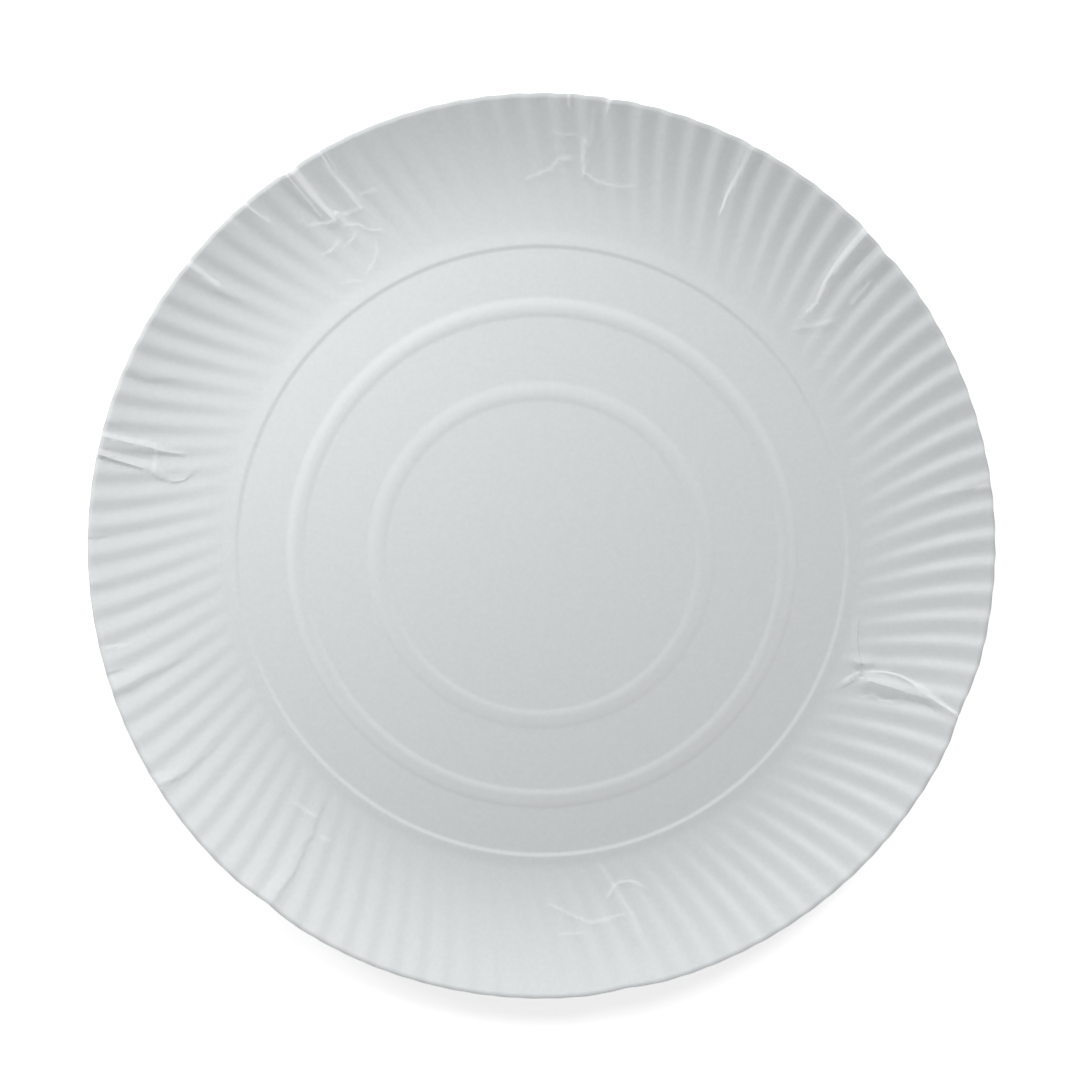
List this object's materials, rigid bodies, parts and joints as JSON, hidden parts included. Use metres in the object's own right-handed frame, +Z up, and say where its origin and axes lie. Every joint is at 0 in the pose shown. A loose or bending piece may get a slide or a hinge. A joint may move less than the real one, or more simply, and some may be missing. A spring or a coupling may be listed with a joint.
{
  "type": "paper plate",
  "caption": "Round pressed paperboard plate with a flat base, low ring beads and a shallow curved wall of swirled flutes, for serving food.",
  "frame": {"origin": "centre of the base's underside, on the surface that the plate rests on", "axes": "+Z up through the plate's centre, +Y towards the top of the picture"},
  "size_m": [0.23, 0.23, 0.0148],
  "materials": {
    "board": "matte uncoated white paperboard"
  },
  "bodies": {
    "root": {"plate": "board"}
  },
  "joints": []
}
